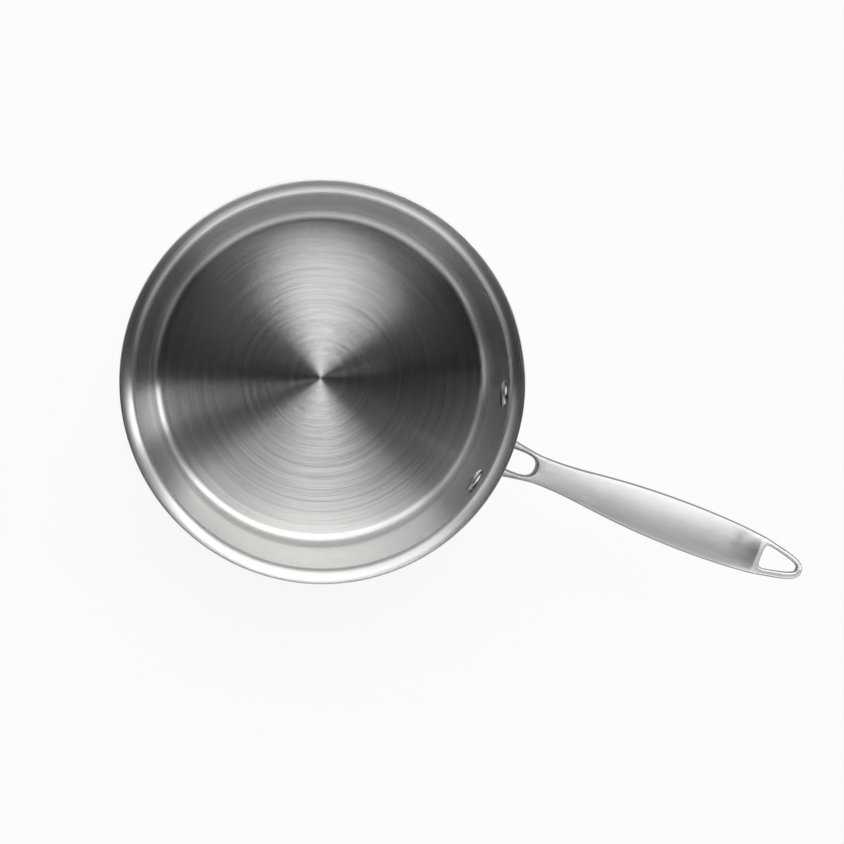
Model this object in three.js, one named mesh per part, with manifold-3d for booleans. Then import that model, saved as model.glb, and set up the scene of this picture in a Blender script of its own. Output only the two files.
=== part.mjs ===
import * as THREE from 'three';
import { mergeVertices } from 'three/addons/utils/BufferGeometryUtils.js';
import Module from 'manifold-3d';

// A stainless saucepan with a layered base and one riveted handle.
// Millimetres, +Z up. The origin is the centre of the underside and the handle points along +X.

const { degToRad } = THREE.MathUtils;

// Body shell: a drawn sheet with a flat floor, a slightly flared wall and an outward pouring lip
const wallTopRadius = 90;
const panDepth = 80;
const wallDraft = degToRad(1.2);
const shellThickness = 1;
const cornerRadius = 6.4;
const lipRadius = 6.7;
const lipOverhang = degToRad(2);

// Base: an aluminium disc closed in by a steel cap under the floor
const discThickness = 4.5;
const capThickness = 0.6;
const capCornerRadius = 2;
const capInset = 0.5;
const bondGap = 0.2;

// Rivets: a domed head inside, a shank through wall and plate, and a set head outside
const rivetPitch = 46;
const rivetOffset = 4.6;
const rivetShankRadius = 3;
const rivetHeadRadius = 6.8;
const rivetHeadHeight = 2.2;
const rivetSetRadius = 5.2;
const rivetSetHeight = 1.6;
const rivetHoleClearance = 0.3;
const rivetSeatGap = 0.2;

// Riveting plate of the handle, curved to the wall
const plateThickness = 3;
const plateHalfHeight = 7.6;
const plateMargin = 10;
const plateWallGap = 0.3;
const plateLipGap = 0.4;

// Handle stations: each has its run from the station before, and its rise above the rivets
const forkWidth = 20.4;
const forkThickness = 9;
const forkArmWidth = 4.8;
const neckRun = 23.45;
const neckRise = 3.6;
const neckWidth = 13.6;
const neckThickness = 9;
const neckWeb = 4.9;
const shoulderRun = 26.1;
const shoulderRise = 8.2;
const shoulderWidth = 17.6;
const shoulderThickness = 10;
const gripRun = 47.9;
const gripRise = 15.2;
const gripWidth = 23.6;
const gripThickness = 11;
const gripEndRun = 26.5;
const gripEndRise = 17.4;
const gripEndWidth = 21.6;
const gripEndThickness = 9;

// Hanging loop at the end of the grip, with its hole
const loopRun = 12.5;
const loopRise = 16.8;
const loopWidth = 18.9;
const loopThickness = 4.4;
const loopSideRun = 13.1;
const loopSideWidth = 13.4;
const tipRun = 8.5;
const loopSideBorder = 3.4;
const loopTipBorder = 3.2;
const holeCornerRadius = 2.2;
const holeEndRadius = 2.4;

// Fineness of the round stretches
const roundSteps = 72;
const cornerSteps = 4;
const capSteps = 3;
const lipSteps = 8;
const rivetSteps = 20;
const domeSteps = 3;
const sectionSteps = 20;
const gripSteps = 28;
const tipSteps = 5;
const sectionSquareness = 2.6;

// Heights and radii that follow from the sizes above
const capHeight = capThickness + bondGap + discThickness;
const floorHeight = capHeight + bondGap + shellThickness;
const rimHeight = floorHeight + panDepth;
const lipCentre = new THREE.Vector2(
  wallTopRadius + lipRadius * Math.cos(wallDraft),
  rimHeight - lipRadius,
);
const wallTopHeight = lipCentre.y + lipRadius * Math.sin(wallDraft);
const innerRadiusAt = (height) => wallTopRadius - (wallTopHeight - height) * Math.tan(wallDraft);
const outerRadiusAt = (height) => innerRadiusAt(height) + shellThickness / Math.cos(wallDraft);
const cornerHeight = floorHeight + cornerRadius;
const floorRadius = innerRadiusAt(cornerHeight) - cornerRadius / Math.cos(wallDraft);
const capRadius = floorRadius - capInset;
const capBend = new THREE.Vector2(capRadius - capCornerRadius, capCornerRadius);
const discRadius = capRadius - capThickness - bondGap;
const rivetHeight = lipCentre.y - plateLipGap - plateHalfHeight;
const rivetWallRadius = innerRadiusAt(rivetHeight);
const plateReach = outerRadiusAt(rivetHeight) + plateWallGap + plateThickness;

// Distances from the pan's axis to the stations of the handle
const neckReach = plateReach + neckRun;
const shoulderReach = neckReach + shoulderRun;
const gripReach = shoulderReach + gripRun;
const gripEndReach = gripReach + gripEndRun;
const loopReach = gripEndReach + loopRun;
const loopSideReach = loopReach + loopSideRun;
const handleReach = loopSideReach + tipRun;

const wasm = await Module();
wasm.setup();

// Closed solid from a geometry, with its shared corners merged and its collapsed faces dropped
function solidFrom(geometry, matrix = new THREE.Matrix4()) {
  const placed = geometry.clone().applyMatrix4(matrix);
  placed.deleteAttribute('normal');
  placed.deleteAttribute('uv');
  const merged = mergeVertices(placed, 1e-4);
  const corners = [];
  const index = merged.index.array;
  for (let i = 0; i < index.length; i += 3) {
    const [a, b, c] = [index[i], index[i + 1], index[i + 2]];
    if (a !== b && b !== c && c !== a) {
      corners.push(a, b, c);
    }
  }
  const vertProperties = new Float32Array(merged.attributes.position.array);
  const triVerts = new Uint32Array(corners);
  return new wasm.Manifold(new wasm.Mesh({ numProp: 3, vertProperties, triVerts }));
}

function geometryFrom(solid) {
  const mesh = solid.getMesh();
  const geometry = new THREE.BufferGeometry();
  geometry.setAttribute('position', new THREE.BufferAttribute(mesh.vertProperties, 3));
  geometry.setIndex(new THREE.BufferAttribute(mesh.triVerts, 1));
  geometry.computeVertexNormals();
  return geometry;
}

// Turned solid about +Z from a profile of (radius, height) points that runs up its outside
function turned(profile, steps) {
  return new THREE.LatheGeometry(profile, steps).rotateX(Math.PI / 2);
}

function arc(centre, radius, from, to, steps) {
  const points = [];
  for (let i = 0; i <= steps; i += 1) {
    const angle = from + ((to - from) * i) / steps;
    points.push(new THREE.Vector2(
      centre.x + radius * Math.cos(angle),
      centre.y + radius * Math.sin(angle),
    ));
  }
  return points;
}

function steel(color, roughness) {
  return new THREE.MeshStandardMaterial({ color, roughness, metalness: 1 });
}

function piece(name, solid, material) {
  const mesh = new THREE.Mesh(geometryFrom(solid), material);
  mesh.name = name;
  return mesh;
}

// One face of the shell, from the axis to the lip's edge, set back from the inside by an offset
function shellFace(offset) {
  const cornerCentre = new THREE.Vector2(floorRadius, cornerHeight);
  const lipStart = Math.PI - wallDraft;
  const lipEnd = Math.PI / 2 - lipOverhang;
  return [
    new THREE.Vector2(0, floorHeight - offset),
    ...arc(cornerCentre, cornerRadius + offset, -Math.PI / 2, -wallDraft, cornerSteps),
    ...arc(lipCentre, lipRadius - offset, lipStart, lipEnd, lipSteps),
  ];
}

function bodyShell() {
  return solidFrom(turned([...shellFace(shellThickness), ...shellFace(0).reverse()], roundSteps));
}

function heatDisc() {
  const edgeRadius = capCornerRadius - capThickness - bondGap;
  return solidFrom(turned([
    new THREE.Vector2(0, capThickness + bondGap),
    ...arc(capBend, edgeRadius, -Math.PI / 2, 0, capSteps),
    new THREE.Vector2(discRadius, capHeight),
    new THREE.Vector2(0, capHeight),
  ], roundSteps));
}

function baseCap() {
  return solidFrom(turned([
    new THREE.Vector2(0, 0),
    ...arc(capBend, capCornerRadius, -Math.PI / 2, 0, capSteps),
    new THREE.Vector2(capRadius, capHeight),
    new THREE.Vector2(capRadius - capThickness, capHeight),
    ...arc(capBend, capCornerRadius - capThickness, 0, -Math.PI / 2, capSteps),
    new THREE.Vector2(0, capThickness),
  ], roundSteps));
}

// Place of a rivet: its local +Z leaves the wall's inner face towards the inside of the pan
function rivetPlace(side) {
  const azimuth = (rivetOffset + (side * rivetPitch) / 2) / rivetWallRadius;
  const outwards = new THREE.Vector3(
    Math.cos(azimuth) * Math.cos(wallDraft),
    Math.sin(azimuth) * Math.cos(wallDraft),
    -Math.sin(wallDraft),
  );
  const turn = new THREE.Quaternion().setFromUnitVectors(
    new THREE.Vector3(0, 0, -1),
    outwards,
  );
  const seat = new THREE.Vector3(
    Math.cos(azimuth) * rivetWallRadius,
    Math.sin(azimuth) * rivetWallRadius,
    rivetHeight,
  );
  return new THREE.Matrix4().compose(seat, turn, new THREE.Vector3(1, 1, 1));
}

// Flattened dome profile between a rim radius and the axis, above or below a seat
function dome(radius, height, seat) {
  const points = [];
  for (let i = 0; i <= domeSteps; i += 1) {
    const angle = (i / domeSteps) * (Math.PI / 2);
    points.push(new THREE.Vector2(radius * Math.cos(angle), seat + height * Math.sin(angle)));
  }
  return points;
}

function rivet(side) {
  const headRise = rivetHeadRadius ** 2 / (2 * rivetWallRadius) + rivetSeatGap;
  const setSeat = -(shellThickness + plateWallGap + plateThickness + rivetSeatGap);
  return solidFrom(turned([
    ...dome(rivetSetRadius, -rivetSetHeight, setSeat).reverse(),
    new THREE.Vector2(rivetShankRadius, setSeat),
    new THREE.Vector2(rivetShankRadius, headRise),
    ...dome(rivetHeadRadius, rivetHeadHeight, headRise),
  ], rivetSteps), rivetPlace(side));
}

function rivetHole(side) {
  const radius = rivetShankRadius + rivetHoleClearance;
  const length = 4 * (shellThickness + plateWallGap + plateThickness);
  const hole = new THREE.CylinderGeometry(radius, radius, length, rivetSteps);
  return solidFrom(hole.rotateX(Math.PI / 2), rivetPlace(side));
}

// Cone that follows the wall's outer face at a distance, between two heights
function wallCone(distance, low, high) {
  return solidFrom(turned([
    new THREE.Vector2(0, low),
    new THREE.Vector2(outerRadiusAt(low) + distance, low),
    new THREE.Vector2(outerRadiusAt(high) + distance, high),
    new THREE.Vector2(0, high),
  ], roundSteps));
}

// Riveting plate: a band of the wall's cone, cut to an outline with round ends
function rivetPlate() {
  const low = rivetHeight - 2 * plateHalfHeight;
  const high = rivetHeight + 2 * plateHalfHeight;
  const endShift = plateMargin - plateHalfHeight;
  const [left, right] = [1, -1].map((side) => (
    new THREE.Vector3().setFromMatrixPosition(rivetPlace(side)).y + side * endShift
  ));
  const outline = new THREE.Shape();
  outline.absarc(left, rivetHeight, plateHalfHeight, -Math.PI / 2, Math.PI / 2);
  outline.absarc(right, rivetHeight, plateHalfHeight, Math.PI / 2, (3 * Math.PI) / 2);
  const band = new THREE.ExtrudeGeometry(outline, {
    depth: 2 * plateReach,
    bevelEnabled: false,
    curveSegments: rivetSteps / 2,
  });
  // The outline's x and y become Y and Z, and the extrusion runs along X
  const upright = new THREE.Matrix4().makeBasis(
    new THREE.Vector3(0, 1, 0),
    new THREE.Vector3(0, 0, 1),
    new THREE.Vector3(1, 0, 0),
  );
  return wallCone(plateWallGap + plateThickness, low, high).intersect(solidFrom(band, upright));
}

// Sections along the handle as (reach, half width, height, half thickness)
function handleSections() {
  const loopHeight = rivetHeight + loopRise;
  const stations = [
    [plateReach - plateThickness / 2, forkWidth, rivetHeight, forkThickness],
    [neckReach, neckWidth, rivetHeight + neckRise, neckThickness],
    [shoulderReach, shoulderWidth, rivetHeight + shoulderRise, shoulderThickness],
    [gripReach, gripWidth, rivetHeight + gripRise, gripThickness],
    [gripEndReach, gripEndWidth, rivetHeight + gripEndRise, gripEndThickness],
    [loopReach, loopWidth, loopHeight, loopThickness],
    [loopSideReach, loopSideWidth, loopHeight, loopThickness],
  ];
  const middle = new THREE.CatmullRomCurve3(
    stations.map(([reach, width, height]) => new THREE.Vector3(reach, width / 2, height)),
    false,
    'catmullrom',
  );
  const depth = new THREE.SplineCurve(
    stations.map(([reach, , , thickness]) => new THREE.Vector2(reach, thickness / 2)),
  );
  const sections = [];
  for (let i = 0; i <= gripSteps; i += 1) {
    const point = middle.getPoint(i / gripSteps);
    sections.push([point.x, point.y, point.z, depth.getPoint(i / gripSteps).y]);
  }
  // The tip closes in as a quarter of an ellipse that stops at a narrow flat
  const lastAngle = (Math.PI / 2) * (tipSteps / (tipSteps + 0.5));
  for (let i = 1; i <= tipSteps; i += 1) {
    const angle = (lastAngle * i) / tipSteps;
    const reach = loopSideReach + (tipRun * Math.sin(angle)) / Math.sin(lastAngle);
    sections.push([reach, (loopSideWidth / 2) * Math.cos(angle), loopHeight, loopThickness / 2]);
  }
  return sections;
}

// Loft of rounded sections with closed ends
function handleLoft() {
  const rounded = (value) => Math.sign(value) * Math.abs(value) ** (2 / sectionSquareness);
  const positions = [];
  const index = [];
  const sections = handleSections();
  sections.forEach(([reach, halfWidth, height, halfThickness]) => {
    for (let k = 0; k < sectionSteps; k += 1) {
      const angle = (k / sectionSteps) * 2 * Math.PI;
      positions.push(
        reach,
        halfWidth * rounded(Math.cos(angle)),
        height + halfThickness * rounded(Math.sin(angle)),
      );
    }
  });
  for (let s = 0; s + 1 < sections.length; s += 1) {
    for (let k = 0; k < sectionSteps; k += 1) {
      const a = s * sectionSteps + k;
      const b = s * sectionSteps + ((k + 1) % sectionSteps);
      index.push(a, b, a + sectionSteps);
      index.push(b, b + sectionSteps, a + sectionSteps);
    }
  }
  const last = (sections.length - 1) * sectionSteps;
  for (let k = 1; k + 1 < sectionSteps; k += 1) {
    index.push(0, k + 1, k);
    index.push(last, last + k, last + k + 1);
  }
  const loft = new THREE.BufferGeometry();
  loft.setAttribute('position', new THREE.BufferAttribute(new Float32Array(positions), 3));
  loft.setIndex(index);
  return solidFrom(loft);
}

// Upright cutter through the handle from a plan outline
function planCutter(outline) {
  const cutter = new THREE.ExtrudeGeometry(outline, {
    depth: rimHeight,
    bevelEnabled: false,
    curveSegments: rivetSteps / 2,
  });
  return solidFrom(cutter.translate(0, 0, rimHeight / 2));
}

function forkGap() {
  const half = forkWidth / 2 - forkArmWidth;
  const roundEnd = neckReach - neckWeb - half;
  const outline = new THREE.Shape();
  outline.moveTo(0, -half);
  outline.absarc(roundEnd, 0, half, -Math.PI / 2, Math.PI / 2);
  outline.lineTo(0, half);
  outline.closePath();
  return planCutter(outline);
}

// Hanging hole: a rounded triangle whose sides are tangents of its corner arcs
function hangingHole() {
  const cornerX = loopReach + holeCornerRadius;
  const cornerY = loopWidth / 2 - loopSideBorder - holeCornerRadius;
  const endX = handleReach - loopTipBorder - holeEndRadius;
  const run = Math.hypot(endX - cornerX, cornerY);
  const lean = Math.atan2(cornerY, endX - cornerX) + Math.asin((holeCornerRadius - holeEndRadius) / run);
  const side = Math.PI / 2 - lean;
  const outline = new THREE.Shape();
  outline.absarc(endX, 0, holeEndRadius, -side, side);
  outline.absarc(cornerX, cornerY, holeCornerRadius, side, Math.PI);
  outline.absarc(cornerX, -cornerY, holeCornerRadius, Math.PI, 2 * Math.PI - side);
  return planCutter(outline);
}

function handle() {
  return handleLoft()
    .subtract(forkGap())
    .subtract(hangingHole())
    .add(rivetPlate())
    .subtract(wallCone(plateWallGap, 0, rimHeight))
    .subtract(rivetHole(1))
    .subtract(rivetHole(-1));
}

const saucepan = new THREE.Group();
saucepan.name = 'saucepan';
saucepan.add(
  piece('body_shell', bodyShell().subtract(rivetHole(1)).subtract(rivetHole(-1)), steel(0xc9c8c5, 0.34)),
  piece('heat_disc', heatDisc(), steel(0xb9bbbd, 0.45)),
  piece('base_cap', baseCap(), steel(0xc4c4c2, 0.38)),
  piece('handle', handle(), steel(0xcfcecb, 0.3)),
  piece('rivet_left', rivet(1), steel(0xd6d6d4, 0.18)),
  piece('rivet_right', rivet(-1), steel(0xd6d6d4, 0.18)),
);

export default saucepan;
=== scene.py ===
import math

import bmesh
import bpy
from mathutils import Euler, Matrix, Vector


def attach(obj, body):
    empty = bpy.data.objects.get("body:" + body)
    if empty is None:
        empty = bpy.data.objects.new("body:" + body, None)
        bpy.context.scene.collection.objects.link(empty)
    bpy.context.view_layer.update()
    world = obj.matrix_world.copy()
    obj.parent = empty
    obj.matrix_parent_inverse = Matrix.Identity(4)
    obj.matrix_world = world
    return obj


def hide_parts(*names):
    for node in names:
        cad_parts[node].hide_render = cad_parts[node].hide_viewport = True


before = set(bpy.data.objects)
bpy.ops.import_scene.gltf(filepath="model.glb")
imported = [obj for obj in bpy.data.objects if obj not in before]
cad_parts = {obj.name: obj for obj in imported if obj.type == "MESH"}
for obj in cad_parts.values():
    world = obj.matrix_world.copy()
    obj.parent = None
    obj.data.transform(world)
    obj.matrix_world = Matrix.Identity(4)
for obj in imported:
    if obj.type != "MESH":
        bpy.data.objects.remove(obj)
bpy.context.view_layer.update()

# Metres throughout. The pan stands on its base at the origin and its handle points along +X.
MM = 0.001

# Body shell
wall_top_radius = 90 * MM
pan_depth = 80 * MM
wall_draft = math.radians(1.2)
shell_thickness = 1 * MM
corner_radius = 6.4 * MM
lip_radius = 6.7 * MM
lip_overhang = math.radians(-3)
lip_bend_radius = 5.2 * MM
lip_flange_radius = 9.5 * MM
lip_flange_angle = math.radians(30)

# Base
disc_thickness = 4.5 * MM
cap_thickness = 0.6 * MM
cap_corner_radius = 2 * MM
cap_inset = 0.5 * MM
bond_gap = 0.2 * MM

# Rivets and the plate that they hold
rivet_pitch = 46 * MM
rivet_offset = 4.6 * MM
rivet_shank_radius = 3 * MM
rivet_head_radius = 6.8 * MM
rivet_head_height = 2.2 * MM
rivet_set_radius = 5.2 * MM
rivet_set_height = 1.6 * MM
rivet_seat_gap = 0.2 * MM
plate_thickness = 3 * MM
plate_half_height = 7.6 * MM
plate_margin = 10 * MM
plate_wall_gap = 0.3 * MM
plate_lip_gap = 0.4 * MM
plate_edge_bevel = 0.9 * MM

# Heights and radii that follow
cap_height = cap_thickness + bond_gap + disc_thickness
floor_height = cap_height + bond_gap + shell_thickness
rim_height = floor_height + pan_depth
lip_centre = (wall_top_radius + lip_radius * math.cos(wall_draft), rim_height - lip_radius)
wall_top_height = lip_centre[1] + lip_radius * math.sin(wall_draft)
corner_height = floor_height + corner_radius


def inner_radius_at(height):
    return wall_top_radius - (wall_top_height - height) * math.tan(wall_draft)


def outer_radius_at(height):
    return inner_radius_at(height) + shell_thickness / math.cos(wall_draft)


floor_radius = inner_radius_at(corner_height) - corner_radius / math.cos(wall_draft)

# The lip bends tightly out of the wall and flattens towards its edge
bend_rise = lip_bend_radius * (math.cos(lip_flange_angle) - math.sin(wall_draft))
flange_rise = lip_flange_radius * (1 - math.cos(lip_flange_angle))
lip_foot = rim_height - flange_rise - bend_rise
lip_bend_centre = (
    inner_radius_at(lip_foot) + lip_bend_radius * math.cos(wall_draft),
    lip_foot - lip_bend_radius * math.sin(wall_draft),
)
lip_flange_centre = (
    lip_bend_centre[0] + (lip_flange_radius - lip_bend_radius) * math.sin(lip_flange_angle),
    rim_height - lip_flange_radius,
)
cap_radius = floor_radius - cap_inset
rivet_height = lip_centre[1] - plate_lip_gap - plate_half_height
rivet_wall_radius = inner_radius_at(rivet_height)
plate_reach = outer_radius_at(rivet_height) + plate_wall_gap + plate_thickness

# Stretch of the handle over which its gloss grows
gloss_start = 210 * MM
gloss_end = 225 * MM

# How far placed points stand aside until all are placed
out_of_reach = 10
# Where the plate starts before it is laid on the wall
plate_start = 0.2

# Fineness of the pieces
pan_steps = 192
rivet_steps = 48
handle_levels = 3


# Modelling helpers


def begin(add, **values):
    """Adds a primitive with nothing else selected and opens it in edit mode."""
    if bpy.context.mode != "OBJECT":
        bpy.ops.object.mode_set(mode="OBJECT")
    bpy.ops.object.select_all(action="DESELECT")
    add(**values)
    piece = bpy.context.object
    bpy.ops.object.mode_set(mode="EDIT")
    bpy.ops.mesh.select_mode(type="VERT")
    bpy.ops.mesh.select_all(action="SELECT")
    return piece


def end(piece, name):
    """Leaves edit mode and names the piece."""
    bpy.ops.object.mode_set(mode="OBJECT")
    piece.name = name
    piece.data.name = name
    bpy.ops.object.shade_smooth()
    return piece


def pick(piece, kind, test):
    """Selects the vertices or faces, in edit mode, that pass a test."""
    bpy.ops.mesh.select_mode(type=kind)
    bpy.ops.mesh.select_all(action="DESELECT")
    mesh = bmesh.from_edit_mesh(piece.data)
    for element in mesh.verts if kind == "VERT" else mesh.faces:
        element.select_set(test(element))
    mesh.select_flush_mode()
    bmesh.update_edit_mesh(piece.data)


def arc(centre, radius, start, finish, steps):
    """Points of an arc between two angles in radians."""
    angles = [start + (finish - start) * k / steps for k in range(steps + 1)]
    return [(centre[0] + radius * math.cos(a), centre[1] + radius * math.sin(a)) for a in angles]


def turned(name, profile, steps):
    """Spins a profile of (radius, height) points about +Z."""
    piece = begin(bpy.ops.mesh.primitive_plane_add, size=MM)
    bpy.ops.mesh.merge(type="CENTER")
    bpy.ops.transform.translate(value=(profile[0][0], 0, profile[0][1]))
    for (r0, z0), (r1, z1) in zip(profile, profile[1:]):
        bpy.ops.mesh.extrude_vertices_move(TRANSFORM_OT_translate={"value": (r1 - r0, 0, z1 - z0)})
    bpy.ops.mesh.select_all(action="SELECT")
    bpy.ops.mesh.spin(steps=steps, angle=2 * math.pi, center=(0, 0, 0), axis=(0, 0, 1))
    bpy.ops.mesh.select_all(action="SELECT")
    bpy.ops.mesh.remove_doubles(threshold=MM / 1000)
    bpy.ops.mesh.normals_make_consistent(inside=False)
    return end(piece, name)


def apply_modifiers(piece):
    bpy.context.view_layer.objects.active = piece
    for modifier in list(piece.modifiers):
        bpy.ops.object.modifier_apply(modifier=modifier.name)


def finish_faces(piece, material, test):
    """Gives the faces that pass a test a material of their own."""
    piece.data.materials.append(material)
    piece.active_material_index = len(piece.data.materials) - 1
    bpy.ops.object.select_all(action="DESELECT")
    piece.select_set(True)
    bpy.context.view_layer.objects.active = piece
    bpy.ops.object.mode_set(mode="EDIT")
    pick(piece, "FACE", lambda face: test(face.calc_center_median(), face.normal))
    bpy.ops.object.material_slot_assign()
    bpy.ops.object.mode_set(mode="OBJECT")


# Materials


class Finish:
    """A metal's shader with short calls for its nodes."""

    def __init__(self, name, colour, roughness, anisotropy=0.0):
        self.material = bpy.data.materials.new(name)
        self.material.use_nodes = True
        self.nodes = self.material.node_tree.nodes
        self.links = self.material.node_tree.links
        self.shader = self.nodes["Principled BSDF"]
        self.shader.inputs["Base Color"].default_value = (*colour, 1)
        self.shader.inputs["Metallic"].default_value = 1
        self.shader.inputs["Roughness"].default_value = roughness
        self.shader.inputs["Anisotropic"].default_value = anisotropy

    def node(self, kind, links=(), **settings):
        """A node with its settings and, by input, the socket or number that it takes."""
        made = self.nodes.new(kind)
        for key, value in settings.items():
            setattr(made, key, value)
        for key, value in dict(links).items():
            if isinstance(value, bpy.types.NodeSocket):
                self.links.new(value, made.inputs[key])
            else:
                made.inputs[key].default_value = value
        return made

    def math(self, operation, first, second=0.0):
        return self.node("ShaderNodeMath", {0: first, 1: second}, operation=operation).outputs[0]

    def place(self):
        """Object coordinates as separate sockets."""
        coordinates = self.node("ShaderNodeTexCoord").outputs["Object"]
        split = self.node("ShaderNodeSeparateXYZ", {0: coordinates})
        return coordinates, split.outputs[0], split.outputs[1], split.outputs[2]

    def vector(self, x, y, z):
        return self.node("ShaderNodeCombineXYZ", {0: x, 1: y, 2: z}).outputs[0]

    def noise(self, vector, scale, detail=2.0, roughness=0.5):
        made = self.node(
            "ShaderNodeTexNoise",
            {"Vector": vector, "Scale": scale, "Detail": detail, "Roughness": roughness},
        )
        return made.outputs[0]

    def spread(self, value, low, high, start=0.0, stop=1.0):
        """A value between start and stop moved to a range from low to high."""
        links = {"Value": value, "From Min": start, "From Max": stop, "To Min": low, "To Max": high}
        return self.node("ShaderNodeMapRange", links).outputs[0]

    def blend(self, factor, first, second):
        """Mixes two colours."""
        made = self.node("ShaderNodeMix", data_type="RGBA")
        self.links.new(factor, made.inputs["Factor"])
        made.inputs[6].default_value = (*first, 1)
        made.inputs[7].default_value = (*second, 1)
        return made.outputs[2]

    def bump(self, height, strength, distance):
        made = self.node("ShaderNodeBump", {"Height": height, "Strength": strength, "Distance": distance})
        self.links.new(made.outputs[0], self.shader.inputs["Normal"])

    def set(self, socket, value):
        self.links.new(value, self.shader.inputs[socket])

    def vector_math(self, operation, first, second=None, scale=None):
        made = self.node("ShaderNodeVectorMath", {0: first}, operation=operation)
        if second is not None:
            self.links.new(second, made.inputs[1])
        if scale is not None:
            self.links.new(scale, made.inputs["Scale"])
        return made.outputs[0]

    def brush(self, along, marks, lean):
        """Turns the gloss across the brush marks and leans the surface with each mark."""
        normal = self.node("ShaderNodeNewGeometry").outputs["Normal"]
        across = self.vector_math("NORMALIZE", self.vector_math("CROSS_PRODUCT", along, normal))
        self.set("Tangent", across)
        share = self.math("MULTIPLY", self.math("SUBTRACT", marks, 0.5), 2 * lean)
        leaning = self.vector_math("ADD", normal, self.vector_math("SCALE", across, scale=share))
        self.set("Normal", self.vector_math("NORMALIZE", leaning))


def ring_streaks(finish, across, along):
    """Fine brush marks that run round the pan's axis: their fineness across and their length along."""
    _, x, y, z = finish.place()
    squares = finish.math("ADD", finish.math("MULTIPLY", x, x), finish.math("MULTIPLY", y, y))
    radius = finish.math("SQRT", squares)
    safe = finish.math("MAXIMUM", radius, MM / 10)
    travel = finish.math("MULTIPLY", finish.math("ADD", radius, z), across)
    turn_x = finish.math("MULTIPLY", finish.math("DIVIDE", x, safe), along)
    turn_y = finish.math("MULTIPLY", finish.math("DIVIDE", y, safe), along)
    return finish.vector(travel, turn_x, turn_y)


def circular_satin(name, colour, roughness, anisotropy, lean):
    """Steel brushed in circles about the pan's axis."""
    finish = Finish(name, colour, roughness, anisotropy)
    hair = finish.noise(ring_streaks(finish, 16000, 2.0), 1.0, detail=2.0, roughness=0.6)
    fine = finish.noise(ring_streaks(finish, 1900, 0.4), 1.0, detail=2.0, roughness=0.6)
    broad = finish.noise(ring_streaks(finish, 300, 0.35), 1.0, detail=2.0)
    marks = finish.math("ADD", finish.math("MULTIPLY", fine, 0.88), finish.math("MULTIPLY", broad, 0.12))
    finish.set("Roughness", finish.spread(marks, roughness - 0.012, roughness + 0.012, 0.3, 0.7))
    dark = [c * 0.9 for c in colour]
    light = [min(1.0, c * 1.09) for c in colour]
    finish.set("Base Color", finish.blend(finish.spread(marks, 0, 1, 0.32, 0.68), dark, light))
    _, x, y, _ = finish.place()
    finish.brush(finish.vector(finish.math("MULTIPLY", y, -1), x, 0.0), hair, lean)
    return finish.material


def polished_steel(name, colour, roughness):
    """Bright polished steel with a faint cloud and hairline wiping marks."""
    finish = Finish(name, colour, roughness)
    coordinates, *_ = finish.place()
    cloud = finish.noise(coordinates, 18, detail=2.0)
    hair = finish.noise(ring_streaks(finish, 3000, 3.0), 1.0, detail=2.0)
    mixed = finish.math("ADD", finish.math("MULTIPLY", cloud, 0.5), finish.math("MULTIPLY", hair, 0.5))
    finish.set("Roughness", finish.spread(mixed, roughness - 0.02, roughness + 0.03, 0.3, 0.7))
    dark = [c * 0.98 for c in colour]
    light = [min(1.0, c * 1.02) for c in colour]
    finish.set("Base Color", finish.blend(finish.spread(cloud, 0, 1, 0.3, 0.7), dark, light))
    finish.bump(hair, 0.03, 0.01 * MM)
    return finish.material


def long_satin(name, colour, roughness, anisotropy, lean, gloss=0.0):
    """Steel brushed along the handle, with a gloss that grows towards the loop."""
    finish = Finish(name, colour, roughness, anisotropy)
    _, x, y, z = finish.place()
    grain = finish.vector(
        finish.math("MULTIPLY", x, 40), finish.math("MULTIPLY", y, 2600), finish.math("MULTIPLY", z, 2600)
    )
    fine = finish.noise(grain, 1.0, detail=3.0, roughness=0.6)
    thin = finish.vector(
        finish.math("MULTIPLY", x, 150), finish.math("MULTIPLY", y, 12000), finish.math("MULTIPLY", z, 12000)
    )
    hair = finish.noise(thin, 1.0, detail=2.0, roughness=0.6)
    slow = finish.vector(
        finish.math("MULTIPLY", x, 12), finish.math("MULTIPLY", y, 260), finish.math("MULTIPLY", z, 260)
    )
    broad = finish.noise(slow, 1.0)
    marks = finish.math("ADD", finish.math("MULTIPLY", fine, 0.6), finish.math("MULTIPLY", broad, 0.4))
    brushed = finish.spread(marks, roughness - 0.04, roughness + 0.05, 0.3, 0.7)
    smoother = finish.spread(x, 0, gloss, gloss_start, gloss_end)
    finish.set("Roughness", finish.math("SUBTRACT", brushed, smoother))
    dark = [c * 0.93 for c in colour]
    light = [min(1.0, c * 1.05) for c in colour]
    finish.set("Base Color", finish.blend(finish.spread(marks, 0, 1, 0.32, 0.68), dark, light))
    finish.brush(finish.vector(1.0, 0.0, 0.0), hair, lean)
    return finish.material


def rolled_aluminium(name, colour, roughness):
    """Plain rolled sheet for the disc inside the base."""
    finish = Finish(name, colour, roughness)
    _, x, y, z = finish.place()
    rolled = finish.vector(
        finish.math("MULTIPLY", x, 40), finish.math("MULTIPLY", y, 1200), finish.math("MULTIPLY", z, 1200)
    )
    grain = finish.noise(rolled, 1.0, detail=2.0)
    finish.set("Roughness", finish.spread(grain, roughness - 0.05, roughness + 0.05, 0.3, 0.7))
    finish.bump(grain, 0.1, 0.02 * MM)
    return finish.material


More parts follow.
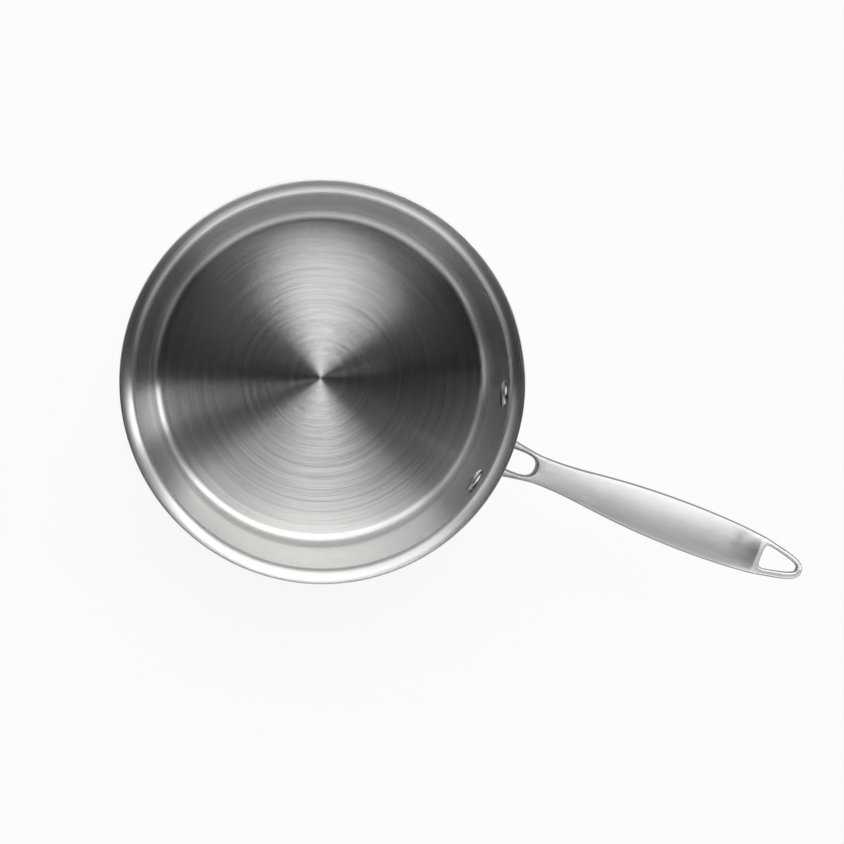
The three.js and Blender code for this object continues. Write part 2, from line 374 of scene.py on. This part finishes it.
inside_satin = circular_satin("inside_satin", (0.66, 0.655, 0.645), 0.235, 1.0, 0.185)
lip_satin = circular_satin("lip_satin", (0.67, 0.665, 0.655), 0.28, 0.8, 0.3)
cap_satin = circular_satin("cap_satin", (0.6, 0.595, 0.585), 0.3, 0.8, 0.3)
bright_steel = polished_steel("bright_steel", (0.66, 0.655, 0.645), 0.16)
rivet_polish = polished_steel("rivet_polish", (0.68, 0.675, 0.665), 0.12)
handle_satin = long_satin("handle_satin", (0.74, 0.735, 0.725), 0.46, 0.45, 0.25, 0.16)
# Painted shade: a dark steel that makes the handle's sides, eased edges and fork arms darker than its top,
# standing in for dark reflections where the surface turns away from the light
handle_side_painted_shade = long_satin("handle_side_painted_shade", (0.3, 0.297, 0.293), 0.4, 0.4, 0.15)
# Painted highlight: the loop's near-white colour stands in for the brighter sheen on its surfaces
loop_satin_painted_highlight = long_satin("loop_satin_painted_highlight", (0.96, 0.955, 0.945), 0.45, 0.3, 0.2)
disc_metal = rolled_aluminium("disc_metal", (0.72, 0.73, 0.74), 0.42)


# Pieces


def shell_face(offset, corner_steps, lip_steps):
    """One face of the shell from the axis to the lip's edge, set back from the inside by an offset."""
    floor_rings = [0.0, 0.3, 0.6, 0.85, 0.96, 0.993]
    wall_rings = [0.01, 0.06, 0.25, 0.5, 0.75, 0.94, 0.99]
    corner_centre = (floor_radius, corner_height)
    corner = arc(corner_centre, corner_radius + offset, -math.pi / 2, -wall_draft, corner_steps)
    bend_start = math.pi - wall_draft
    flange_start = math.pi / 2 + lip_flange_angle
    bend = arc(lip_bend_centre, lip_bend_radius - offset, bend_start, flange_start, lip_steps)
    flange_end = math.pi / 2 - lip_overhang
    flange = arc(lip_flange_centre, lip_flange_radius - offset, flange_start, flange_end, lip_steps // 2)
    lip = bend + flange[1:]
    low, high = corner[-1], lip[0]
    wall = [(low[0] + (high[0] - low[0]) * s, low[1] + (high[1] - low[1]) * s) for s in wall_rings]
    floor = [(floor_radius * s, floor_height - offset) for s in floor_rings]
    return floor + corner + wall + lip


def body_shell():
    """Floor, wall and pouring lip of the pan, as one spun sheet with a rounded edge."""
    edge_radius = shell_thickness / 2
    edge_angle = math.pi / 2 - lip_overhang
    edge_reach = lip_flange_radius - edge_radius
    edge_centre = (
        lip_flange_centre[0] + edge_reach * math.cos(edge_angle),
        lip_flange_centre[1] + edge_reach * math.sin(edge_angle),
    )
    edge = arc(edge_centre, edge_radius, edge_angle, edge_angle - math.pi, 8)[1:-1]
    inner_face = shell_face(0, 14, 24)
    outer_face = shell_face(shell_thickness, 14, 16)
    piece = turned("pan_body", inner_face + edge + outer_face[::-1], pan_steps)
    middle = shell_thickness / 2

    def on_inside(place, normal):
        radius = math.hypot(place.x, place.y)
        above_floor = radius < floor_radius and place.z > floor_height - middle
        from_bend = math.hypot(radius - floor_radius, place.z - corner_height)
        in_bend = radius >= floor_radius and place.z < corner_height and from_bend < corner_radius + middle
        on_wall = corner_height <= place.z < lip_foot and radius < inner_radius_at(place.z) + middle
        return above_floor or in_bend or on_wall

    def on_lip(place, normal):
        return place.z >= lip_foot and normal.z > 0

    finish_faces(piece, bright_steel, lambda place, normal: True)
    finish_faces(piece, inside_satin, on_inside)
    finish_faces(piece, lip_satin, on_lip)
    return piece


def base_cap():
    """Steel cap under the heat disc, with its rolled lower edge."""
    bend = (cap_radius - cap_corner_radius, cap_corner_radius)
    flat_rings = [0.0, 0.4, 0.8, 0.97, 0.995]
    outside = [(bend[0] * s, 0.0) for s in flat_rings]
    outside += arc(bend, cap_corner_radius, -math.pi / 2, 0, 10)
    outside += [(cap_radius, cap_corner_radius + 0.2 * MM)]
    edge_radius = cap_thickness / 2
    top_edge = arc((cap_radius - edge_radius, cap_height - edge_radius), edge_radius, 0, math.pi, 6)
    inside = arc(bend, cap_corner_radius - cap_thickness, 0, -math.pi / 2, 6)
    inside += [(bend[0] * s, cap_thickness) for s in reversed(flat_rings)]
    piece = turned("pan_base_cap", outside + top_edge + inside, pan_steps)
    finish_faces(piece, cap_satin, lambda place, normal: True)
    return piece


# Handle stations, in millimetres: reach, half widths of the edge, of the gap's side and of the core, rise
# above the rivets, and half thickness at the edge and in the middle. The gap's side borders the fork and
# the hole.
handle_stations = [
    (91.8, 12.4, 3.8, 1.8, -0.1, 5.9, 6.3),
    (93.6, 11.2, 4.7, 1.8, 0.0, 4.9, 5.2),
    (97.0, 9.9, 5.3, 1.8, 0.4, 4.3, 4.5),
    (102.0, 8.95, 5.4, 1.8, 1.1, 4.2, 4.4),
    (107.3, 8.05, 5.35, 1.8, 1.9, 4.2, 4.4),
    (112.4, 7.25, 4.2, 1.9, 2.7, 4.2, 4.4),
    (115.0, 7.15, 4.0, 1.7, 3.2, 4.2, 4.4),
    (120.0, 7.15, 4.0, 1.6, 4.0, 4.2, 4.5),
    (127.0, 7.42, 4.2, 1.6, 5.2, 4.2, 4.7),
    (135.0, 8.1, 4.6, 1.7, 6.6, 4.3, 5.0),
    (144.0, 9.2, 5.3, 1.9, 8.1, 4.3, 5.2),
    (155.0, 10.35, 6.1, 2.2, 9.9, 4.3, 5.4),
    (167.0, 11.25, 6.7, 2.4, 11.8, 4.2, 5.5),
    (179.0, 11.7, 7.0, 2.5, 13.6, 4.1, 5.6),
    (191.5, 11.88, 7.1, 2.6, 15.2, 4.0, 5.6),
    (204.5, 11.6, 7.0, 2.6, 16.5, 3.8, 5.4),
    (213.0, 11.15, 6.7, 2.6, 17.1, 3.7, 5.3),
    (218.0, 10.8, 6.5, 2.7, 17.2, 3.4, 4.9),
    (222.5, 10.45, 6.4, 3.0, 17.0, 2.9, 4.0),
    (226.4, 10.05, 6.25, 3.2, 16.8, 2.1, 3.1),
    (228.4, 9.8, 6.0, 3.3, 16.7, 1.5, 2.6),
    (230.5, 9.5, 5.4, 3.3, 16.7, 1.3, 2.4),
    (232.8, 9.1, 5.85, 3.2, 16.7, 1.3, 2.3),
    (237.0, 8.2, 5.05, 2.6, 16.8, 1.3, 2.2),
    (241.5, 7.35, 4.05, 1.6, 16.8, 1.3, 2.2),
    (245.6, 6.3, 3.0, 1.2, 16.8, 1.4, 2.2),
    (249.2, 5.0, 1.7, 0.7, 16.8, 1.4, 2.1),
    (252.5, 3.4, 1.5, 0.5, 16.8, 1.5, 2.0),
]
fork_end = 5
loop_start = 21
loop_end = 26
tip_end = 27
# Shifts along the handle of a station's edge and of its gap's side, which round the openings and the tip
station_bows = {fork_end: (0, -1.5), loop_start: (0, 0.6), loop_end: (0, -0.5), tip_end: (-0.9, 0)}
handle_edge_bevel = 0.8 * MM
# Where the grip has come down to the loop, whose lighter colour is painted highlight
loop_step = 227.6 * MM
# The fork sits a little to one side of the loop
fork_shift = -1.4 * MM
fork_shift_end = 219 * MM
# The hole sits a little to the other side
hole_shift = 0.5 * MM
# The painted shade on the sides reaches up to faces whose normals have this upright share, with more on the
# neck and the arms
side_tilt = 0.82
neck_tilt = 0.08
neck_end = 150 * MM
neck_fade = 40 * MM
arm_tilt = 0.075
arm_end = 113 * MM
arm_fade = 8 * MM


def handle_bar():
    """Fork arms, grip and loop: a grid opened at its gaps, thickened, shaped by its stations and smoothed."""
    count = len(handle_stations)
    piece = begin(bpy.ops.mesh.primitive_grid_add, x_subdivisions=count - 1, y_subdivisions=5, size=2)
    raw = [-1 + 2 * k / (count - 1) for k in range(count)]

    def in_gap(face):
        centre = face.calc_center_median()
        opened = centre.x < raw[fork_end] or raw[loop_start] < centre.x < raw[loop_end]
        return opened and abs(centre.y) < 0.5

    pick(piece, "FACE", in_gap)
    bpy.ops.mesh.delete(type="FACE")
    bpy.ops.mesh.select_all(action="SELECT")
    bpy.ops.mesh.extrude_region_move(TRANSFORM_OT_translate={"value": (0, 0, -1)})

    for k, station in enumerate(handle_stations):
        reach, half, inner, core, rise, edge_depth, depth = [value * MM for value in station]
        edge_bow, side_bow = [value * MM for value in station_bows.get(k, (0, 0))]
        sideways = fork_shift * max(0.0, (fork_shift_end - reach) / (fork_shift_end - plate_reach))
        aside = hole_shift if loop_start <= k <= loop_end else 0.0
        columns = (
            (1.0, half, edge_depth, edge_bow, 0),
            (0.6, inner, depth - 0.35 * (depth - edge_depth), side_bow, aside),
            (0.2, core, depth, 0, aside),
        )
        for place, width, thick, bow, across in columns:
            for layer, lift in ((0, thick), (-1, -thick)):

                def here(vertex):
                    in_column = abs(abs(vertex.co.y) - place) < 0.1
                    in_station = abs(vertex.co.x - raw[k]) < 1e-4
                    return in_column and in_station and abs(vertex.co.z - layer) < 1e-4

                pick(piece, "VERT", here)
                bpy.ops.transform.resize(value=(1, width / place, 1), center_override=(raw[k], 0, layer))
                along = out_of_reach + reach + bow - raw[k]
                upwards = rivet_height + rise + lift - layer
                bpy.ops.transform.translate(value=(along, sideways + across, upwards))
    bpy.ops.mesh.select_all(action="SELECT")
    bpy.ops.transform.translate(value=(-out_of_reach, 0, 0))
    bpy.ops.mesh.normals_make_consistent(inside=False)

    # Ease the long edges of the top and the underside, so that the smoothing keeps their flats
    bpy.ops.mesh.select_mode(type="EDGE")
    bpy.ops.mesh.select_all(action="DESELECT")
    bpy.ops.mesh.edges_select_sharp(sharpness=math.radians(40))
    mesh = bmesh.from_edit_mesh(piece.data)
    for edge in mesh.edges:
        run = edge.verts[1].co - edge.verts[0].co
        if edge.select and abs(run.z) > 0.7 * run.length:
            edge.select_set(False)
    bmesh.update_edit_mesh(piece.data)
    bpy.ops.mesh.bevel(offset=handle_edge_bevel, segments=1, affect="EDGES", clamp_overlap=True)
    end(piece, "handle_bar")
    smooth = piece.modifiers.new("smooth", "SUBSURF")
    smooth.levels = handle_levels
    smooth.render_levels = handle_levels
    apply_modifiers(piece)

    def in_painted_shade(place, normal):
        """Faces that get the painted shade: sides and eased edges, wider on the neck and widest on the fork's
        arms.
        """
        on_neck = min(1.0, max(0.0, (neck_end - place.x) / neck_fade))
        on_arm = min(1.0, max(0.0, (arm_end - place.x) / arm_fade))
        return abs(normal.z) < side_tilt + neck_tilt * on_neck + arm_tilt * on_arm

    finish_faces(piece, handle_satin, lambda place, normal: True)
    # Painted highlight: the loop takes the near-white steel
    finish_faces(piece, loop_satin_painted_highlight, lambda place, normal: place.x > loop_step)
    # Painted shade on the sides and eased edges, with more of it on the neck and the fork arms
    finish_faces(piece, handle_side_painted_shade, in_painted_shade)
    return piece


def rivet_azimuth(side):
    """Angle round the pan's axis of the rivet on one side of the handle."""
    return (rivet_offset + side * rivet_pitch / 2) / rivet_wall_radius


def rivet_plate(shell):
    """Riveting plate: a strip with round ends laid on the wall, thickened and eased at its edges."""
    end_shift = plate_margin - plate_half_height
    left = math.sin(rivet_azimuth(1)) * rivet_wall_radius + end_shift
    right = math.sin(rivet_azimuth(-1)) * rivet_wall_radius - end_shift
    round_steps = 8
    straight_steps = 24
    last = math.radians(82)
    bends = [last * k / round_steps for k in range(round_steps, 0, -1)]
    columns = [(right - plate_half_height * math.sin(a), math.cos(a)) for a in bends]
    columns += [(right + (left - right) * k / straight_steps, 1.0) for k in range(straight_steps + 1)]
    columns += [(left + plate_half_height * math.sin(a), math.cos(a)) for a in reversed(bends)]
    rows = 10
    gaps = len(columns) - 1
    piece = begin(bpy.ops.mesh.primitive_grid_add, x_subdivisions=rows, y_subdivisions=gaps, size=2)
    bpy.ops.transform.rotate(value=-math.pi / 2, orient_axis="Y", center_override=(0, 0, 0))
    raw = [-1 + 2 * k / gaps for k in range(gaps + 1)]
    for start, (across, tall) in zip(raw, columns):
        pick(piece, "VERT", lambda vertex: abs(vertex.co.y - start) < 1e-4)
        bpy.ops.transform.resize(value=(1, 1, tall * plate_half_height), center_override=(0, start, 0))
        bpy.ops.transform.translate(value=(plate_start, across + out_of_reach - start, rivet_height))
    bpy.ops.mesh.select_all(action="SELECT")
    bpy.ops.transform.translate(value=(0, -out_of_reach, 0))
    end(piece, "handle_plate")
    wrap = piece.modifiers.new("wrap", "SHRINKWRAP")
    wrap.target = shell
    wrap.wrap_method = "PROJECT"
    wrap.use_project_x = True
    wrap.use_negative_direction = True
    wrap.use_positive_direction = False
    wrap.offset = plate_wall_gap
    wall = piece.modifiers.new("wall", "SOLIDIFY")
    wall.thickness = plate_thickness
    wall.offset = 1
    ease = piece.modifiers.new("ease", "BEVEL")
    ease.width = plate_edge_bevel
    ease.segments = 4
    ease.limit_method = "ANGLE"
    ease.angle_limit = math.radians(50)
    apply_modifiers(piece)
    finish_faces(piece, handle_satin, lambda place, normal: True)
    return piece


def dome(radius, height, seat, steps):
    """Flattened dome from its rim to the axis."""
    angles = [math.pi / 2 * k / steps for k in range(steps + 1)]
    return [(radius * math.cos(a), seat + height * math.sin(a)) for a in angles]


def rivet(name, side):
    """Domed head inside the pan, shank, and set head on the plate."""
    head_rise = rivet_head_radius ** 2 / (2 * rivet_wall_radius) + rivet_seat_gap
    set_seat = -(shell_thickness + plate_wall_gap + plate_thickness + rivet_seat_gap)
    ease = 0.35 * MM
    head = [(rivet_shank_radius, head_rise), (rivet_head_radius - ease, head_rise)]
    head += dome(rivet_head_radius, rivet_head_height, head_rise + ease / 2, 14)
    tail = dome(rivet_set_radius, -rivet_set_height, set_seat - ease / 2, 12)[::-1]
    tail += [(rivet_set_radius - ease, set_seat), (rivet_shank_radius, set_seat)]
    piece = turned(name, tail + head, rivet_steps)
    azimuth = rivet_azimuth(side)
    outwards = Vector((
        math.cos(azimuth) * math.cos(wall_draft),
        math.sin(azimuth) * math.cos(wall_draft),
        -math.sin(wall_draft),
    ))
    piece.rotation_euler = Vector((0, 0, -1)).rotation_difference(outwards).to_euler()
    piece.location = (
        math.cos(azimuth) * rivet_wall_radius,
        math.sin(azimuth) * rivet_wall_radius,
        rivet_height,
    )
    bpy.ops.object.transform_apply(location=True, rotation=True, scale=True)
    finish_faces(piece, rivet_polish, lambda place, normal: True)
    return piece


def dress(piece, slot, *nodes):
    """Ties a piece to the body and hides the solids that it stands for; the slot is not used."""
    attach(piece, "root")
    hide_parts(*nodes)


shell = body_shell()
dress(shell, "pan_steel", "body_shell")
dress(base_cap(), "cap_steel", "base_cap")
dress(rivet_plate(shell), "handle_steel", "handle")
dress(handle_bar(), "handle_steel", "handle")
dress(rivet("rivet_head_left", 1), "rivet_steel", "rivet_left")
dress(rivet("rivet_head_right", -1), "rivet_steel", "rivet_right")

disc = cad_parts["heat_disc"]
disc.data.materials.clear()
disc.data.materials.append(disc_metal)


# Stage: pale floor, studio surroundings, lamp and camera

# The view looks down into the pan, so its right and up lie across the pan's axis
view_turn = math.radians(21.82)
view_right = Vector((math.cos(view_turn), math.sin(view_turn), 0))
view_up = Vector((-math.sin(view_turn), math.cos(view_turn), 0))

# The floor's size and grey, and the share of its light that glows where it is seen and where it is mirrored
floor_size = 8
floor_grey = 0.9
floor_seen_glow = 0.88
floor_gloss_glow = 0.25

key_place = view_up * 0.7 + Vector((0, 0, 0.9))
key_target = (0, 0, 0.05)
key_size = (1.0, 0.6)
key_power = 1.2

camera_lens = 71
camera_sensor = 36
camera_place = Vector((-0.02756, 0.01679, 0.88606))
camera_turn = Euler((math.radians(-3.197), math.radians(-4.743), math.radians(21.821)), "XYZ")


def pale_floor():
    """White paper that keeps the pan's shadow and glows towards the camera."""
    bpy.ops.object.select_all(action="DESELECT")
    bpy.ops.mesh.primitive_plane_add(size=floor_size)
    floor = bpy.context.object
    floor.name = "floor"
    material = bpy.data.materials.new("floor_paper")
    material.use_nodes = True
    nodes = material.node_tree.nodes
    links = material.node_tree.links
    paper = nodes["Principled BSDF"]
    paper.inputs["Base Color"].default_value = (floor_grey, floor_grey, floor_grey, 1)
    paper.inputs["Roughness"].default_value = 0.9
    glow = nodes.new("ShaderNodeEmission")
    glow.inputs["Color"].default_value = (1, 1, 1, 1)
    rays = nodes.new("ShaderNodeLightPath")
    in_gloss = nodes.new("ShaderNodeMath")
    in_gloss.operation = "MULTIPLY"
    in_gloss.inputs[1].default_value = floor_gloss_glow
    links.new(rays.outputs["Is Glossy Ray"], in_gloss.inputs[0])
    share = nodes.new("ShaderNodeMath")
    share.operation = "MULTIPLY_ADD"
    share.inputs[1].default_value = floor_seen_glow
    links.new(rays.outputs["Is Camera Ray"], share.inputs[0])
    links.new(in_gloss.outputs[0], share.inputs[2])
    mixed = nodes.new("ShaderNodeMixShader")
    links.new(share.outputs[0], mixed.inputs[0])
    links.new(paper.outputs[0], mixed.inputs[1])
    links.new(glow.outputs[0], mixed.inputs[2])
    links.new(mixed.outputs[0], nodes["Material Output"].inputs["Surface"])
    floor.data.materials.append(material)


def surroundings():
    """Soft studio: a light ceiling towards the view's top, darker sides and white behind the pan."""
    world = bpy.data.worlds.new("studio")
    bpy.context.scene.world = world
    world.use_nodes = True
    nodes = world.node_tree.nodes
    links = world.node_tree.links
    background = nodes["Background"]
    background.inputs["Color"].default_value = (1, 1, 1, 1)
    direction = nodes.new("ShaderNodeTexCoord").outputs["Generated"]

    def along(axis):
        made = nodes.new("ShaderNodeVectorMath")
        made.operation = "DOT_PRODUCT"
        links.new(direction, made.inputs[0])
        made.inputs[1].default_value = axis
        return made.outputs["Value"]

    def step(value, start, stop, low, high):
        made = nodes.new("ShaderNodeMapRange")
        made.interpolation_type = "SMOOTHSTEP"
        links.new(value, made.inputs["Value"])
        made.inputs["From Min"].default_value = start
        made.inputs["From Max"].default_value = stop
        made.inputs["To Min"].default_value = low
        made.inputs["To Max"].default_value = high
        return made.outputs[0]

    def combine(operation, first, second):
        made = nodes.new("ShaderNodeMath")
        made.operation = operation
        links.new(first, made.inputs[0])
        if isinstance(second, float):
            made.inputs[1].default_value = second
        else:
            links.new(second, made.inputs[1])
        return made.outputs[0]

    right = along(view_right)
    up = along(view_up)
    high = along((0, 0, 1))
    across = combine("ADD", combine("MULTIPLY", right, right), combine("MULTIPLY", up, up))
    flat = combine("SQRT", combine("MAXIMUM", across, 1e-5), 0.0)
    turn_up = combine("DIVIDE", up, flat)
    turn_right = combine("DIVIDE", right, flat)

    beam = combine("ADD", turn_up, combine("MULTIPLY", turn_right, 0.13))
    beam = combine("SUBTRACT", beam, step(high, 0.93, 0.99, 0.0, 0.25))
    box = combine("MULTIPLY", step(beam, 0.56, 0.76, 0.0, 1.0), step(up, 0.02, 0.12, 0.0, 1.0))
    box = combine("MULTIPLY", box, step(high, 0.97, 0.75, 2.7, 1.45))
    box = combine("MULTIPLY", box, step(high, 0.0, 0.42, 0.12, 1.0))
    box = combine("MULTIPLY", box, step(turn_right, -0.6, 0.2, 0.78, 1.0))
    above = combine("MULTIPLY", step(turn_up, 0.0, 0.035, 0.0, 1.0), step(turn_up, 0.05, 0.65, 0.2, 0.5))
    above = combine("MULTIPLY", above, step(high, 0.9, 0.4, 0.4, 2.4))
    above = combine("MULTIPLY", above, step(turn_up, 0.6, 0.8, 1.0, 0.25))
    above = combine("MULTIPLY", above, step(high, 0.0, 0.3, 0.25, 1.0))
    strip = combine("MULTIPLY", step(turn_up, 0.0, 0.03, 0.0, 2.2), step(turn_up, 0.32, 0.22, 0.0, 1.0))
    strip = combine("MULTIPLY", strip, step(turn_right, 0.0, 0.2, 0.0, 1.0))
    strip = combine("MULTIPLY", strip, step(high, 0.87, 0.79, 0.0, 1.0))
    strip = combine("MULTIPLY", strip, step(high, 0.1, 0.25, 0.0, 1.0))
    front = combine("MULTIPLY", step(turn_up, -0.6, -0.85, 0.0, 1.0), step(high, 0.98, 0.7, 0.0, 0.65))
    below = combine("MULTIPLY", step(turn_up, -0.05, -0.6, 0.0, 1.0), step(high, 0.75, 0.2, 0.0, 0.7))
    level = combine("ADD", combine("ADD", box, above), combine("ADD", strip, below))
    level = combine("ADD", combine("ADD", level, front), 0.008)
    rays = nodes.new("ShaderNodeLightPath")
    seen = nodes.new("ShaderNodeMix")
    links.new(rays.outputs["Is Camera Ray"], seen.inputs[0])
    links.new(level, seen.inputs[2])
    seen.inputs[3].default_value = 1.0
    links.new(seen.outputs[0], background.inputs["Strength"])


def softbox(name, place, target, size, power):
    """A large soft lamp that is not mirrored in the metal."""
    light = bpy.data.lights.new(name, "AREA")
    light.shape = "RECTANGLE"
    light.size, light.size_y = size
    light.energy = power
    lamp = bpy.data.objects.new(name, light)
    bpy.context.scene.collection.objects.link(lamp)
    lamp.visible_glossy = False
    lamp.location = place
    lamp.rotation_euler = (Vector(target) - Vector(place)).to_track_quat("-Z", "Y").to_euler()


def view_camera():
    data = bpy.data.cameras.new("camera")
    data.lens = camera_lens
    data.sensor_width = camera_sensor
    data.clip_start = 0.01
    camera = bpy.data.objects.new("camera", data)
    bpy.context.scene.collection.objects.link(camera)
    camera.location = camera_place
    camera.rotation_euler = camera_turn
    bpy.context.scene.camera = camera


pale_floor()
surroundings()
softbox("key", key_place, key_target, key_size, key_power)
view_camera()
bpy.context.scene.view_settings.view_transform = "Standard"
